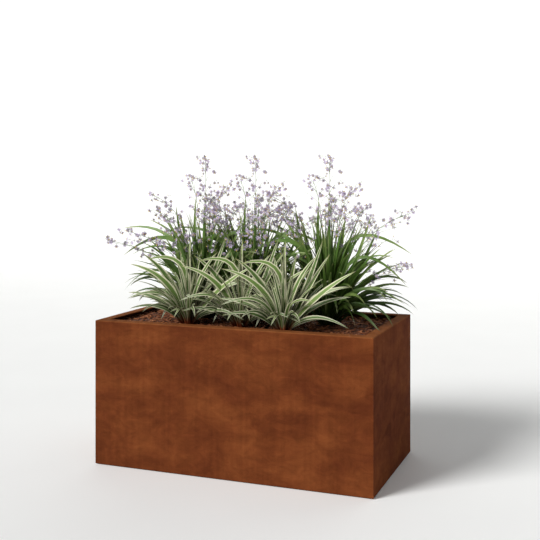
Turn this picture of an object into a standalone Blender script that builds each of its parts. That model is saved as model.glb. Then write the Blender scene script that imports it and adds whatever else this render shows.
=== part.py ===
"""Planter box in weathering steel: folded panels, raised floor on levelling feet, soil, bark and plants.

Metres, +Z up. The origin is on the ground, under the middle of the box. The long sides face -Y and +Y.
"""

import math

import bmesh
import bpy
from mathutils import Matrix, Vector

# ---- the box -------------------------------------------------------------------------------------
LENGTH = 1.000  # outside, along X
DEPTH = 0.500  # outside, along Y
HEIGHT = 0.500  # ground to the top of the rim
SHEET = 0.003  # thickness of the steel sheet
RIM_WIDTH = 0.036  # flat return at the top, turned inwards
FOLD_RADIUS = 0.0025  # outside radius of a fold
SKIRT_GAP = 0.002  # panels end this far above the ground
FOOT_RETURN = 0.020  # return at the bottom of each panel

# ---- clearances ----------------------------------------------------------------------------------
TOUCH = 0.0003  # between pieces that touch
SLIDE = 0.0005  # round a bolt, stud or stem, and beside a piece that is lowered in

# ---- studs, nuts and the corner flanges of the end panels ----------------------------------------
STUD_RADIUS = 0.003  # M6 weld studs
NUT_ACROSS = 0.010  # across the flats
NUT_HEIGHT = 0.005
STUD_PROUD = 0.002  # stud end past its nut
FLANGE_LEG = 0.040  # folded in from the inside of the end panel
FLANGE_HOLE_INSET = 0.025  # stud axis to the inside of the box corner
FLANGE_BELOW_BARK = 0.010
FLANGE_STUD_END = 0.055  # stud axis to the end of the flange

# ---- floor tray and its bearers ------------------------------------------------------------------
TRAY_TOP = 0.075  # upper face of the floor above the ground
TRAY_SHEET = 0.003
TRAY_FLANGE = 0.030  # up-turned edge
TRAY_STUD_UP = 0.016  # stud axis above the floor
TRAY_STUD_PITCH = 0.600  # between the two studs on a long side
DRAIN_RADIUS = 0.012
DRAIN_PITCH_X = 0.300
DRAIN_PITCH_Y = 0.200
STRAINER_FLANGE = 0.020  # radius
STRAINER_RISE = 0.010
STRAINER_WALL = 0.0022
STRAINER_SPIGOT = 0.012  # length through the floor
BEARER_PITCH = 0.330  # between the two channels
BEARER_WIDTH = 0.050
BEARER_HEIGHT = 0.038
BEARER_SHEET = 0.003
BEARER_END_GAP = 0.030  # channel end to the panel

# ---- levelling feet ------------------------------------------------------------------------------
FOOT_INSET = 0.110  # foot axis to the outside of the box end
STEM_RADIUS = 0.006  # M12
BUSH_RADIUS = 0.010
BUSH_LENGTH = 0.030
LOCK_ACROSS = 0.019
LOCK_HEIGHT = 0.006
PAD_RADIUS = 0.022
PAD_HEIGHT = 0.013
PAD_EDGE = 0.006
HUB_RADIUS = 0.0095
SPIGOT_RADIUS = 0.005
SPIGOT_DEPTH = 0.006
STEM_HEX_ACROSS = 0.014
STEM_HEX_HEIGHT = 0.006
STEM_TOP_GAP = 0.002  # stem end to the floor's underside with the foot screwed in
FOOT_SIDES = 12  # flats round a bush, nut or stem

# ---- tie bar across the middle -------------------------------------------------------------------
TIE_BELOW_ROOTS = 0.041  # top of the bar to the underside of the root balls
TIE_BAR_TALL = 0.025
TIE_BAR_THICK = 0.004
TIE_STUD_ASIDE = 0.020  # stud axis beside the bar, on its turned end
TIE_STUD_EDGE = 0.009  # stud axis to the end of the turned end

# ---- filling -------------------------------------------------------------------------------------
BARK_BELOW_RIM = 0.014
BARK_DEPTH = 0.026
FILL_INSET = 0.018  # liner to the panels' inner faces, clear of the nuts
LINER_WALL = 0.0015
CLAY_DEPTH = 0.055
FLEECE_THICK = 0.002
FILL_CORNER = 0.020

# ---- plants --------------------------------------------------------------------------------------
ROOT_RADIUS = 0.062
ROOT_DEPTH = 0.120
CROWN_RADIUS = 0.030
GREEN_BASES = ((-0.219, 0.030), (-0.028, 0.050), (0.258, 0.038))
STRIPED_BASES = ((-0.212, -0.109), (-0.014, -0.104), (0.161, -0.146))
PLANT_REACH_X = 0.615  # foliage stays within this far of the middle
PLANT_REACH_Y = 0.370
PLANT_APART = 0.002
PLANT_SIDES = 20  # flats round a plant's solid and round the hole that it stands in
# radius and height above the bark of the foliage's outline, from the crown upwards
GREEN_OUTLINE = ((0.030, 0.020), (0.210, 0.075), (0.360, 0.180), (0.400, 0.300), (0.380, 0.430),
                 (0.250, 0.560), (0.110, 0.612))
STRIPED_OUTLINE = ((0.030, 0.020), (0.200, 0.045), (0.300, 0.085), (0.310, 0.160), (0.240, 0.250),
                   (0.100, 0.305))

NAMES_OF_FEET = ("front_left", "front_right", "back_right", "back_left")


# ---- worked out ----------------------------------------------------------------------------------
def floor_underside():
    return TRAY_TOP - TRAY_SHEET


def bark_top():
    return HEIGHT - BARK_BELOW_RIM


def bark_bottom():
    return bark_top() - BARK_DEPTH


def tray_stud_height():
    return TRAY_TOP + TRAY_STUD_UP


def flange_span():
    """Lowest and highest point of a corner flange: above the tray's edge, below the bark."""
    return TRAY_TOP + TRAY_FLANGE + SHEET, bark_bottom() - FLANGE_BELOW_BARK


def corner_stud_heights():
    low, high = flange_span()
    return low + FLANGE_STUD_END, high - FLANGE_STUD_END


def corner_stud_offset():
    """Stud axis along a long panel, from its middle."""
    return LENGTH / 2 - SHEET - FLANGE_HOLE_INSET


def tie_span():
    """Lowest and highest point of the tie bar, under the root balls."""
    high = bark_top() - ROOT_DEPTH - TIE_BELOW_ROOTS
    return high - TIE_BAR_TALL, high


def tie_stud_height():
    return sum(tie_span()) / 2


def foot_places():
    """The feet's axes, anticlockwise from the front left."""
    x, y = LENGTH / 2 - FOOT_INSET, BEARER_PITCH / 2
    return ((-x, -y), (x, -y), (x, y), (-x, y))


# ---- mesh helpers --------------------------------------------------------------------------------
def material(name, colour, roughness, metallic):
    made = bpy.data.materials.get(name)
    if made is None:
        made = bpy.data.materials.new(name)
        made.use_nodes = True
        shader = made.node_tree.nodes["Principled BSDF"]
        shader.inputs["Base Color"].default_value = (*colour, 1.0)
        shader.inputs["Roughness"].default_value = roughness
        shader.inputs["Metallic"].default_value = metallic
    return made


def add_object(name, mesh_builder, finish=None, location=(0, 0, 0), turn=0.0, smooth=False):
    """A new object whose mesh is what mesh_builder(bm) makes, turned about Z and moved to location."""
    bm = bmesh.new()
    mesh_builder(bm)
    bmesh.ops.recalc_face_normals(bm, faces=bm.faces)
    mesh = bpy.data.meshes.new(name)
    bm.to_mesh(mesh)
    bm.free()
    made = bpy.data.objects.new(name, mesh)
    bpy.context.scene.collection.objects.link(made)
    made.location = location
    made.rotation_euler = (0, 0, turn)
    if finish is not None:
        mesh.materials.append(finish)
    if smooth:
        mesh.shade_smooth()
        mesh.set_sharp_from_angle(angle=math.radians(35))
    return made


def boolean(target, operation, name, mesh_builder):
    """Joins or cuts target with a hidden shape, built in the target's own coordinates."""
    tool = add_object(name, mesh_builder)
    tool.hide_render = True
    tool.display_type = "WIRE"
    tool.location = target.location
    tool.rotation_euler = target.rotation_euler
    modifier = target.modifiers.new(name, "BOOLEAN")
    modifier.operation = operation
    modifier.solver = "EXACT"
    modifier.object = tool
    return tool


def box(bm, low, high):
    low, high = Vector(low), Vector(high)
    size = high - low
    place = Matrix.Translation((low + high) / 2) @ Matrix.Diagonal((*size, 1.0))
    bmesh.ops.create_cube(bm, size=1.0, matrix=place)


def axis_matrix(point, axis):
    return Matrix.Translation(point) @ Vector(axis).to_track_quat("Z", "Y").to_matrix().to_4x4()


def loop_prism(bm, outline, low, high, place=None):
    """A closed prism of the outline between two heights."""
    place = place or Matrix.Identity(4)
    rings = [[bm.verts.new(place @ Vector((x, y, z))) for x, y in outline] for z in (low, high)]
    count = len(outline)
    bm.faces.new(rings[0][::-1])
    bm.faces.new(rings[1])
    for i in range(count):
        j = (i + 1) % count
        bm.faces.new((rings[0][i], rings[0][j], rings[1][j], rings[1][i]))


def ring_prism(bm, outer, inner, low, high, place=None):
    """A prism with a hole: outer and inner outlines hold the same number of points."""
    place = place or Matrix.Identity(4)
    loops = [[bm.verts.new(place @ Vector((x, y, z))) for x, y in outline]
             for outline, z in ((outer, low), (outer, high), (inner, high), (inner, low))]
    count = len(outer)
    for k in range(4):
        here, there = loops[k], loops[(k + 1) % 4]
        for i in range(count):
            j = (i + 1) % count
            bm.faces.new((here[i], here[j], there[j], there[i]))


def circle(radius, segments, start=0.0):
    return [(radius * math.cos(start + 2 * math.pi * i / segments),
             radius * math.sin(start + 2 * math.pi * i / segments)) for i in range(segments)]


def hexagon(across, segments):
    """A hexagon that many points round, which is a multiple of 6, across its flats."""
    points = []
    for i in range(segments):
        angle = 2 * math.pi * i / segments
        to_flat = (angle % (math.pi / 3)) - math.pi / 6
        radius = across / 2 / math.cos(to_flat)
        points.append((radius * math.cos(angle), radius * math.sin(angle)))
    return points


def cylinder(bm, radius, low, high, segments=12, place=None):
    loop_prism(bm, circle(radius, segments), low, high, place)


def lathe(bm, profile, segments=24, place=None):
    """Turns a closed outline of (radius, height) about Z. A radius of 0 gives a pole."""
    place = place or Matrix.Identity(4)
    rings = []
    for radius, z in profile:
        if radius == 0:
            rings.append([bm.verts.new(place @ Vector((0, 0, z)))])
        else:
            rings.append([bm.verts.new(place @ Vector((x, y, z))) for x, y in circle(radius, segments)])
    closed = profile[0][0] > 0
    last = len(rings) if closed else len(rings) - 1
    for k in range(last):
        here, there = rings[k], rings[(k + 1) % len(rings)]
        for i in range(segments):
            j = (i + 1) % segments
            corners = [here[i % len(here)], here[j % len(here)],
                       there[j % len(there)], there[i % len(there)]]
            corners = list(dict.fromkeys(corners))
            if len(corners) > 2:
                bm.faces.new(corners)


def arc(centre, radius, start_deg, end_deg, steps):
    return [(centre[0] + radius * math.cos(math.radians(start_deg + (end_deg - start_deg) * i / steps)),
             centre[1] + radius * math.sin(math.radians(start_deg + (end_deg - start_deg) * i / steps)))
            for i in range(steps + 1)]


def rounded_rectangle(half_x, half_y, radius, steps=3):
    points = []
    for sx, sy, start in ((1, 1, 0), (-1, 1, 90), (-1, -1, 180), (1, -1, 270)):
        centre = (sx * (half_x - radius), sy * (half_y - radius))
        points += arc(centre, radius, start, start + 90, steps)
    return points


def nut(bm, across, bore, height, place, segments=12):
    """A hexagon nut whose lower face is at the place's origin."""
    ring_prism(bm, hexagon(across, segments), circle(bore, segments), 0.0, height, place)


# ---- finishes ------------------------------------------------------------------------------------
def corten():
    return material("weathering_steel", (0.150, 0.042, 0.014), 0.80, 0.0)


def zinc():
    return material("galvanised_steel", (0.42, 0.44, 0.45), 0.50, 1.0)


def stainless():
    return material("stainless_steel", (0.56, 0.56, 0.55), 0.30, 1.0)


def black_plastic():
    return material("black_polypropylene", (0.012, 0.012, 0.013), 0.55, 0.0)


# ---- the four panels -----------------------------------------------------------------------------
def panel_profile():
    """(distance in from the outside, height) round the folded sheet."""
    outer, top = FOLD_RADIUS, HEIGHT
    points = [(0.0, SKIRT_GAP + outer)]
    points += arc((outer, top - outer), outer, 180, 90, 3)
    points += [(RIM_WIDTH, top), (RIM_WIDTH, top - SHEET), (SHEET, top - SHEET),
               (SHEET, SKIRT_GAP + SHEET), (FOOT_RETURN, SKIRT_GAP + SHEET), (FOOT_RETURN, SKIRT_GAP)]
    points += arc((outer, SKIRT_GAP + outer), outer, 270, 180, 3)[:-1]
    return points


def panel_studs(is_long):
    """(what it holds, distance along the panel, height, thickness that it passes through) of each stud."""
    if not is_long:
        return [("tray", 0.0, tray_stud_height(), TRAY_SHEET)]
    studs = [("corner", side * corner_stud_offset(), z, SHEET)
             for side in (-1, 1) for z in corner_stud_heights()]
    studs += [("tray", side * TRAY_STUD_PITCH / 2, tray_stud_height(), TRAY_SHEET) for side in (-1, 1)]
    studs.append(("tie_bar", TIE_STUD_ASIDE, tie_stud_height(), TIE_BAR_THICK))
    return studs


def stud_place(x, z, inset=SHEET):
    """A place on a stud's axis, looking into the box, in a panel's own coordinates."""
    return axis_matrix((x, inset, z), (0, 1, 0))


def panel(name, run, across, turn, is_long):
    """A folded panel; its own origin is on the ground under the middle of its outer face."""
    mitre = TOUCH / 2 * math.sqrt(2)
    flange_face = run / 2 - SHEET - TOUCH
    low, high = flange_span()

    def sheet(bm):
        profile = panel_profile()
        ends = [[bm.verts.new((side * (run / 2 - d - mitre), d, z)) for d, z in profile]
                for side in (-1, 1)]
        bm.faces.new(ends[0])
        bm.faces.new(ends[1][::-1])
        for i in range(len(profile)):
            j = (i + 1) % len(profile)
            bm.faces.new((ends[0][i], ends[0][j], ends[1][j], ends[1][i]))

    def studs(bm):
        for _, x, z, passed in panel_studs(is_long):
            length = passed + 2 * TOUCH + NUT_HEIGHT + STUD_PROUD
            cylinder(bm, STUD_RADIUS, -SHEET / 2, length, 10, stud_place(x, z))

    def flanges(bm):
        for side in (-1, 1):
            ends = sorted((side * flange_face, side * (flange_face - SHEET)))
            box(bm, (ends[0], SHEET / 2, low), (ends[1], SHEET + FLANGE_LEG, high))

    def holes(bm):
        for z in corner_stud_heights():
            for side in (-1, 1):
                start = (side * (flange_face + TOUCH), SHEET + FLANGE_HOLE_INSET, z)
                along = axis_matrix(start, (-side, 0, 0))
                cylinder(bm, STUD_RADIUS + SLIDE, 0, SHEET + 3 * TOUCH, 12, along)

    middle = Matrix.Rotation(turn, 3, "Z") @ Vector((0, -across / 2, 0))
    made = add_object(name, sheet, corten(), middle, turn, smooth=True)
    boolean(made, "UNION", name + "_studs", studs)
    if not is_long:
        boolean(made, "UNION", name + "_flanges", flanges)
        boolean(made, "DIFFERENCE", name + "_holes", holes)


# name, length, distance between it and the opposite panel, turn about Z, whether it is a long side
PANELS = (("front_panel", LENGTH, DEPTH, 0.0, True),
          ("right_end_panel", DEPTH, LENGTH, math.pi / 2, False),
          ("back_panel", LENGTH, DEPTH, math.pi, True),
          ("left_end_panel", DEPTH, LENGTH, -math.pi / 2, False))


def stud_nuts(held):
    """The places of the nuts on the studs that hold one thing: each nut's lower face, in the box."""
    places = []
    for _, _, across, turn, is_long in PANELS:
        to_box = Matrix.Rotation(turn, 4, "Z") @ Matrix.Translation((0, -across / 2, 0))
        places += [to_box @ stud_place(x, z, SHEET + passed + 2 * TOUCH)
                   for what, x, z, passed in panel_studs(is_long) if what == held]
    return places


def side_words(place):
    """Where in the box a nut is: front or back, left or right, or at an end."""
    x, y, _ = place.translation
    across = "left" if x < 0 else "right"
    if abs(y) < DEPTH / 4:
        return across + "_end"
    return ("front_" if y < 0 else "back_") + across


def add_nuts(held):
    heights = sorted({round(place.translation.z, 4) for place in stud_nuts(held)})
    for place in stud_nuts(held):
        level = ""
        if len(heights) > 1:
            level = "_lower" if place.translation.z < sum(heights) / 2 else "_upper"

        def build(bm, place=place):
            nut(bm, NUT_ACROSS, STUD_RADIUS + TOUCH, NUT_HEIGHT, place)

        add_object(held + "_nut_" + side_words(place) + level, build, stainless())


# ---- floor tray, drains and bearers --------------------------------------------------------------
def drain_places():
    return [(i * DRAIN_PITCH_X, j * DRAIN_PITCH_Y / 2) for i in (-1, 0, 1) for j in (-1, 1)]


def floor_tray():
    half_x, half_y = LENGTH / 2 - SHEET - TOUCH, DEPTH / 2 - SHEET - TOUCH

    def block(bm):
        edge = TRAY_TOP + TRAY_FLANGE - TRAY_SHEET
        box(bm, (-half_x, -half_y, floor_underside()), (half_x, half_y, edge))

    def inside(bm):
        box(bm, (-half_x + TRAY_SHEET, -half_y + TRAY_SHEET, TRAY_TOP),
            (half_x - TRAY_SHEET, half_y - TRAY_SHEET, TRAY_TOP + 2 * TRAY_FLANGE))

    def bores(bm):
        low, high = floor_underside() - SHEET, TRAY_TOP + SHEET
        for x, y in drain_places():
            cylinder(bm, DRAIN_RADIUS, low, high, 20, Matrix.Translation((x, y, 0)))
        for place in stud_nuts("tray"):
            reach = TRAY_SHEET + 4 * TOUCH
            cylinder(bm, STUD_RADIUS + SLIDE, -reach, TOUCH, 12, place)

    made = add_object("floor_tray", block, zinc())
    boolean(made, "DIFFERENCE", "floor_tray_inside", inside)
    boolean(made, "DIFFERENCE", "floor_tray_bores", bores)


def drain_strainers():
    """Slotted domes that keep the clay out of the drain holes."""
    flange_low = TRAY_TOP + TOUCH
    flange_high = flange_low + STRAINER_WALL
    outside = DRAIN_RADIUS - SLIDE
    inside = outside - STRAINER_WALL
    bottom = flange_low - STRAINER_SPIGOT
    crown = flange_low + STRAINER_RISE
    hole = inside * 0.35
    profile = [(outside, bottom), (outside, flange_low), (STRAINER_FLANGE, flange_low),
               (STRAINER_FLANGE, flange_high), (outside, flange_high), (outside, crown),
               (inside, crown + STRAINER_WALL), (hole, crown + STRAINER_WALL), (hole, crown),
               (inside, crown - STRAINER_WALL), (inside, bottom)]

    def build(bm):
        lathe(bm, profile, 16)

    for number, (x, y) in enumerate(drain_places(), 1):
        add_object(f"drain_strainer_{number}", build, black_plastic(), (x, y, 0), smooth=True)


def bearers():
    top = floor_underside() - TOUCH
    low = top - BEARER_HEIGHT
    half = LENGTH / 2 - SHEET - BEARER_END_GAP
    for name, side in (("front", -1), ("back", 1)):
        middle = side * BEARER_PITCH / 2

        def build(bm, middle=middle):
            w, t = BEARER_WIDTH / 2, BEARER_SHEET
            outline = [(-w, low), (-w, top), (w, top), (w, low), (w - t, low), (w - t, top - t),
                       (-w + t, top - t), (-w + t, low)]
            along = Matrix(((0, 0, 1, 0), (1, 0, 0, middle), (0, 1, 0, 0), (0, 0, 0, 1)))
            loop_prism(bm, outline, -half, half, along)

        def holes(bm, middle=middle):
            for x, y in foot_places():
                if abs(y - middle) < BEARER_WIDTH:
                    cylinder(bm, STEM_RADIUS + SLIDE, low, top + SHEET, 16, Matrix.Translation((x, y, 0)))

        made = add_object("base_channel_" + name, build, zinc())
        boolean(made, "DIFFERENCE", "base_channel_holes_" + name, holes)


# ---- levelling feet ------------------------------------------------------------------------------
def feet():
    """Each foot: threaded bush and lock nut on the channel; stem and pad move down together."""
    web_under = floor_underside() - TOUCH - BEARER_SHEET
    bush_top = web_under - TOUCH
    bush_low = bush_top - BUSH_LENGTH
    stem_top = floor_underside() - STEM_TOP_GAP
    hub_top = PAD_HEIGHT
    hex_low = hub_top + TOUCH
    bore = STEM_RADIUS + TOUCH

    def bush(bm):
        ring_prism(bm, circle(BUSH_RADIUS, FOOT_SIDES), circle(bore, FOOT_SIDES), bush_low, bush_top)

    def lock(bm):
        nut(bm, LOCK_ACROSS, bore, LOCK_HEIGHT, Matrix.Translation((0, 0, bush_low - TOUCH - LOCK_HEIGHT)))

    def stem(bm):
        spigot, shank = circle(SPIGOT_RADIUS, FOOT_SIDES), circle(STEM_RADIUS, FOOT_SIDES)
        flats = hexagon(STEM_HEX_ACROSS, FOOT_SIDES)
        rings = [(spigot, hub_top - SPIGOT_DEPTH), (spigot, hex_low), (flats, hex_low),
                 (flats, hex_low + STEM_HEX_HEIGHT), (shank, hex_low + STEM_HEX_HEIGHT), (shank, stem_top)]
        loops = [[bm.verts.new((a, b, z)) for a, b in outline] for outline, z in rings]
        bm.faces.new(loops[0][::-1])
        bm.faces.new(loops[-1])
        for here, there in zip(loops, loops[1:]):
            for i in range(FOOT_SIDES):
                j = (i + 1) % FOOT_SIDES
                bm.faces.new((here[i], here[j], there[j], there[i]))

    def pad(bm):
        hole, floor = SPIGOT_RADIUS + TOUCH, hub_top - SPIGOT_DEPTH - TOUCH
        lathe(bm, [(0, 0), (PAD_RADIUS, 0), (PAD_RADIUS, PAD_EDGE),
                   (HUB_RADIUS, hub_top - PAD_EDGE / 2), (HUB_RADIUS, hub_top), (hole, hub_top),
                   (hole, floor), (0, floor)])

    for name, (x, y) in zip(NAMES_OF_FEET, foot_places()):
        place = (x, y, 0)
        add_object("foot_bush_" + name, bush, zinc(), place, smooth=True)
        add_object("foot_lock_nut_" + name, lock, stainless(), place, smooth=True)
        add_object("foot_stem_" + name, stem, stainless(), place, smooth=True)
        add_object("foot_pad_" + name, pad, black_plastic(), place, smooth=True)


# ---- tie bar -------------------------------------------------------------------------------------
def tie_bar():
    """A flat bar on edge across the middle, with turned ends bolted inside the long panels."""
    reach = DEPTH / 2 - SHEET - TOUCH
    low, high = tie_span()
    thick = TIE_BAR_THICK
    tab = TIE_STUD_ASIDE + TIE_STUD_EDGE

    def build(bm):
        """Z-shaped seen from above, because each panel's stud is to its own right."""
        half = thick / 2
        outline = [(-half, -reach + thick), (-half, -reach), (tab, -reach), (tab, -reach + thick),
                   (half, -reach + thick), (half, reach - thick), (half, reach), (-tab, reach),
                   (-tab, reach - thick), (-half, reach - thick)]
        loop_prism(bm, outline, low, high)

    def holes(bm):
        for place in stud_nuts("tie_bar"):
            cylinder(bm, STUD_RADIUS + SLIDE, -thick - 4 * TOUCH, TOUCH, 12, place)

    made = add_object("tie_bar", build, zinc())
    boolean(made, "DIFFERENCE", "tie_bar_holes", holes)


def tie_space(bm):
    """The tie bar's straight part, with clearance, which the filling and the liner leave free."""
    reach = DEPTH / 2
    side = TIE_BAR_THICK / 2 + TOUCH
    low, high = tie_span()
    box(bm, (-side, -reach, low - TOUCH), (side, reach, high + TOUCH))


# ---- filling -------------------------------------------------------------------------------------
def fill_halves(inset):
    return LENGTH / 2 - SHEET - inset, DEPTH / 2 - SHEET - inset


def clay_span():
    low = TRAY_TOP + TOUCH
    return low, low + CLAY_DEPTH


def soil_span():
    return clay_span()[1] + FLEECE_THICK + 2 * TOUCH, bark_bottom() - TOUCH


def liner():
    low, high = clay_span()[0], bark_bottom() - TOUCH
    outer = rounded_rectangle(*fill_halves(FILL_INSET), FILL_CORNER)
    inner = rounded_rectangle(*fill_halves(FILL_INSET + LINER_WALL), FILL_CORNER - LINER_WALL)

    def build(bm):
        ring_prism(bm, outer, inner, low, high)

    made = add_object("root_barrier_liner", build, black_plastic())
    boolean(made, "DIFFERENCE", "liner_slots", tie_space)


def layer(name, low, high, finish):
    inset = FILL_INSET + LINER_WALL + TOUCH
    outline = rounded_rectangle(*fill_halves(inset), FILL_CORNER - LINER_WALL - TOUCH)

    def build(bm):
        loop_prism(bm, outline, low, high)

    return add_object(name, build, finish)


def strainer_spaces(bm):
    low, high = TRAY_TOP - TOUCH, TRAY_TOP + STRAINER_RISE + STRAINER_WALL + 4 * TOUCH
    for x, y in drain_places():
        cylinder(bm, STRAINER_FLANGE + SLIDE, low, high, 16, Matrix.Translation((x, y, 0)))


def root_spaces(bm):
    """Round holes for the root balls and crowns."""
    low = bark_top() - ROOT_DEPTH - TOUCH
    for x, y in GREEN_BASES + STRIPED_BASES:
        place = Matrix.Translation((x, y, 0))
        high = bark_top() + BARK_DEPTH
        lathe(bm, [(0, low), (ROOT_RADIUS + TOUCH, low), (ROOT_RADIUS + TOUCH, bark_bottom()),
                   (CROWN_RADIUS + TOUCH, bark_bottom() + TOUCH), (CROWN_RADIUS + TOUCH, high),
                   (0, high)], PLANT_SIDES, place)


def filling():
    earth = material("planting_soil", (0.035, 0.018, 0.010), 0.95, 0.0)
    bark = material("bark_mulch", (0.085, 0.032, 0.014), 0.90, 0.0)
    clay = layer("drainage_clay", *clay_span(), material("expanded_clay", (0.20, 0.07, 0.03), 0.95, 0.0))
    boolean(clay, "DIFFERENCE", "drainage_spaces", strainer_spaces)
    fleece_low = clay_span()[1] + TOUCH
    fleece = material("grey_fleece", (0.30, 0.30, 0.30), 0.95, 0.0)
    layer("filter_fleece", fleece_low, fleece_low + FLEECE_THICK, fleece)
    soil = layer("soil", *soil_span(), earth)
    boolean(soil, "DIFFERENCE", "soil_root_spaces", root_spaces)
    boolean(soil, "DIFFERENCE", "soil_tie_space", tie_space)
    half_x, half_y = fill_halves(SLIDE)

    def top_layer(bm):
        box(bm, (-half_x, -half_y, bark_bottom()), (half_x, half_y, bark_top()))

    mulch = add_object("bark_mulch", top_layer, bark)
    boolean(mulch, "DIFFERENCE", "bark_root_spaces", root_spaces)


# ---- plants --------------------------------------------------------------------------------------
def cut_by_line(outline, normal, limit):
    """The part of a convex outline where point . normal <= limit."""
    kept = []
    for (ax, ay), (bx, by) in zip(outline, outline[1:] + outline[:1]):
        a = ax * normal[0] + ay * normal[1] - limit
        b = bx * normal[0] + by * normal[1] - limit
        if a <= 0:
            kept.append((ax, ay))
        if a * b < 0:
            t = a / (a - b)
            kept.append((ax + t * (bx - ax), ay + t * (by - ay)))
    return kept


def plant_ground(base):
    """The plan area that one plant's foliage keeps to: nearer to it than to any other plant."""
    x, y = PLANT_REACH_X, PLANT_REACH_Y
    outline = [(-x, -y), (x, -y), (x, y), (-x, y)]
    for other in GREEN_BASES + STRIPED_BASES:
        if other != base:
            across = Vector(other) - Vector(base)
            normal = across.normalized()
            limit = normal.dot((Vector(other) + Vector(base)) / 2) - PLANT_APART / 2
            outline = cut_by_line(outline, normal, limit)
    return outline


def plant(name, base, outline, finish):
    """Root ball, crown and the space its leaves and flowers fill, as one plain solid."""
    place = Matrix.Translation((*base, 0))
    top = bark_top()

    def build(bm):
        below = [(0, top - ROOT_DEPTH), (ROOT_RADIUS, top - ROOT_DEPTH),
                 (ROOT_RADIUS, bark_bottom() - TOUCH), (CROWN_RADIUS, bark_bottom()), (CROWN_RADIUS, top)]
        above = [(radius, top + z) for radius, z in outline]
        lathe(bm, below + above + [(0, above[-1][1])], PLANT_SIDES, place)

    def ground(bm):
        loop_prism(bm, plant_ground(base), 0.0, HEIGHT * 3)

    made = add_object(name, build, finish)
    boolean(made, "INTERSECT", name + "_ground", ground)


def plants():
    green = material("green_leaf", (0.045, 0.090, 0.022), 0.55, 0.0)
    striped = material("striped_leaf", (0.32, 0.38, 0.20), 0.55, 0.0)
    for where, base in zip(("left", "middle", "right"), GREEN_BASES):
        plant("flax_lily_green_" + where, base, GREEN_OUTLINE, green)
    for where, base in zip(("left", "middle", "right"), STRIPED_BASES):
        plant("flax_lily_striped_" + where, base, STRIPED_OUTLINE, striped)


# ---- the whole planter ---------------------------------------------------------------------------
def main():
    for old in list(bpy.data.objects):
        bpy.data.objects.remove(old)
    for settings in PANELS:
        panel(*settings)
    for held in ("corner", "tray", "tie_bar"):
        add_nuts(held)
    floor_tray()
    drain_strainers()
    bearers()
    feet()
    tie_bar()
    liner()
    filling()
    plants()


main()
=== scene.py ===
"""Weathering-steel planter box with flax lilies: its finishes, its planting and the studio that shows it.

Each piece, or group of like pieces, has its own operator in the Planter tab of the 3D view's sidebar.
Metres, +Z up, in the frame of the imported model, which is loaded first and never moved.
"""

import math
import random

import bmesh
import bpy
import numpy as np
from bpy.props import FloatProperty, FloatVectorProperty, IntProperty, PointerProperty
from mathutils import Euler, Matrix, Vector


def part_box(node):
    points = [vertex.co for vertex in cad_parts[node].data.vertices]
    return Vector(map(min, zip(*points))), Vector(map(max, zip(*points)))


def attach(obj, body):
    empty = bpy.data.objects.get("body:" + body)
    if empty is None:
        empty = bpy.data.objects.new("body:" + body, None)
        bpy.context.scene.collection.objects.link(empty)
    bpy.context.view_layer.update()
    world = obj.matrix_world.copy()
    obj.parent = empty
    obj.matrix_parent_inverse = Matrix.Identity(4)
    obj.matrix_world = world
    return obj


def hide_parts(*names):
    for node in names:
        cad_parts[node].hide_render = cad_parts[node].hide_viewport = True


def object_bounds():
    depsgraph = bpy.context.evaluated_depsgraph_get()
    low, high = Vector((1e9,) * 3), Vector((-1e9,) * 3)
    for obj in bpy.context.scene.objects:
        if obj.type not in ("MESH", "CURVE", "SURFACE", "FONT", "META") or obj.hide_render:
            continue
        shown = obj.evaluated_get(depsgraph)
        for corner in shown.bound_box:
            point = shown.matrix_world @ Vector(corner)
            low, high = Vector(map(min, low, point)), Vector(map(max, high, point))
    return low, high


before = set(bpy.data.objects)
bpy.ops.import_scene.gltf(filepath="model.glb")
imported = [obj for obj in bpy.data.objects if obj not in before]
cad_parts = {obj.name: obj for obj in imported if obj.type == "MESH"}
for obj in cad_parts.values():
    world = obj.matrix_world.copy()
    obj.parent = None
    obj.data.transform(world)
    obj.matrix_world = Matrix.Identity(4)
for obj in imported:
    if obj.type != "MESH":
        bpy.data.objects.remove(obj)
cad_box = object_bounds()

bl_info = {
    "name": "Planter Box",
    "version": (1, 0, 0),
    "blender": (4, 5, 0),
    "location": "View3D > Sidebar > Planter",
    "description": "Finishes a steel planter box, plants it and sets it in a studio",
    "category": "Object",
}

MM = 0.001
SIDES = ("left", "middle", "right")
PANELS = ("front_panel", "back_panel", "left_end_panel", "right_end_panel")
GOLDEN_ANGLE = math.radians(137.5)  # from one leaf or twig to the next round a stem

# inputs of the Mix node when it mixes colours
MIX_FACTOR, MIX_A, MIX_B = 0, 6, 7


# ---- colours and nodes ---------------------------------------------------------------------------
def linear(hex_colour):
    """An sRGB hex colour as linear red, green and blue."""
    parts = [int(hex_colour[i:i + 2], 16) / 255 for i in (0, 2, 4)]
    return tuple(c / 12.92 if c <= 0.04045 else ((c + 0.055) / 1.055) ** 2.4 for c in parts)


def set_inputs(tree, node, inputs):
    """Links each input given a socket, or a node for its first output in use, and sets any other value."""
    for name, value in inputs.items():
        if isinstance(value, bpy.types.Node):
            value = next(output for output in value.outputs if output.enabled)
        if isinstance(value, bpy.types.NodeSocket):
            tree.links.new(value, node.inputs[name])
        else:
            node.inputs[name].default_value = value


def add_node(tree, kind, inputs=None, ramp=None, **settings):
    """Adds a shader node. A ramp lists places from 0 to 1, each with a linear colour or a grey's number."""
    made = tree.nodes.new("ShaderNode" + kind)
    for name, value in settings.items():
        setattr(made, name, value)
    set_inputs(tree, made, inputs or {})
    if ramp:
        elements = made.color_ramp.elements
        while len(elements) < len(ramp):
            elements.new(1.0)
        for element, (place, colour) in zip(elements, ramp):
            if isinstance(colour, float):
                colour = (colour, colour, colour)
            element.position = place
            element.color = (*colour, 1.0)
    return made


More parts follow.
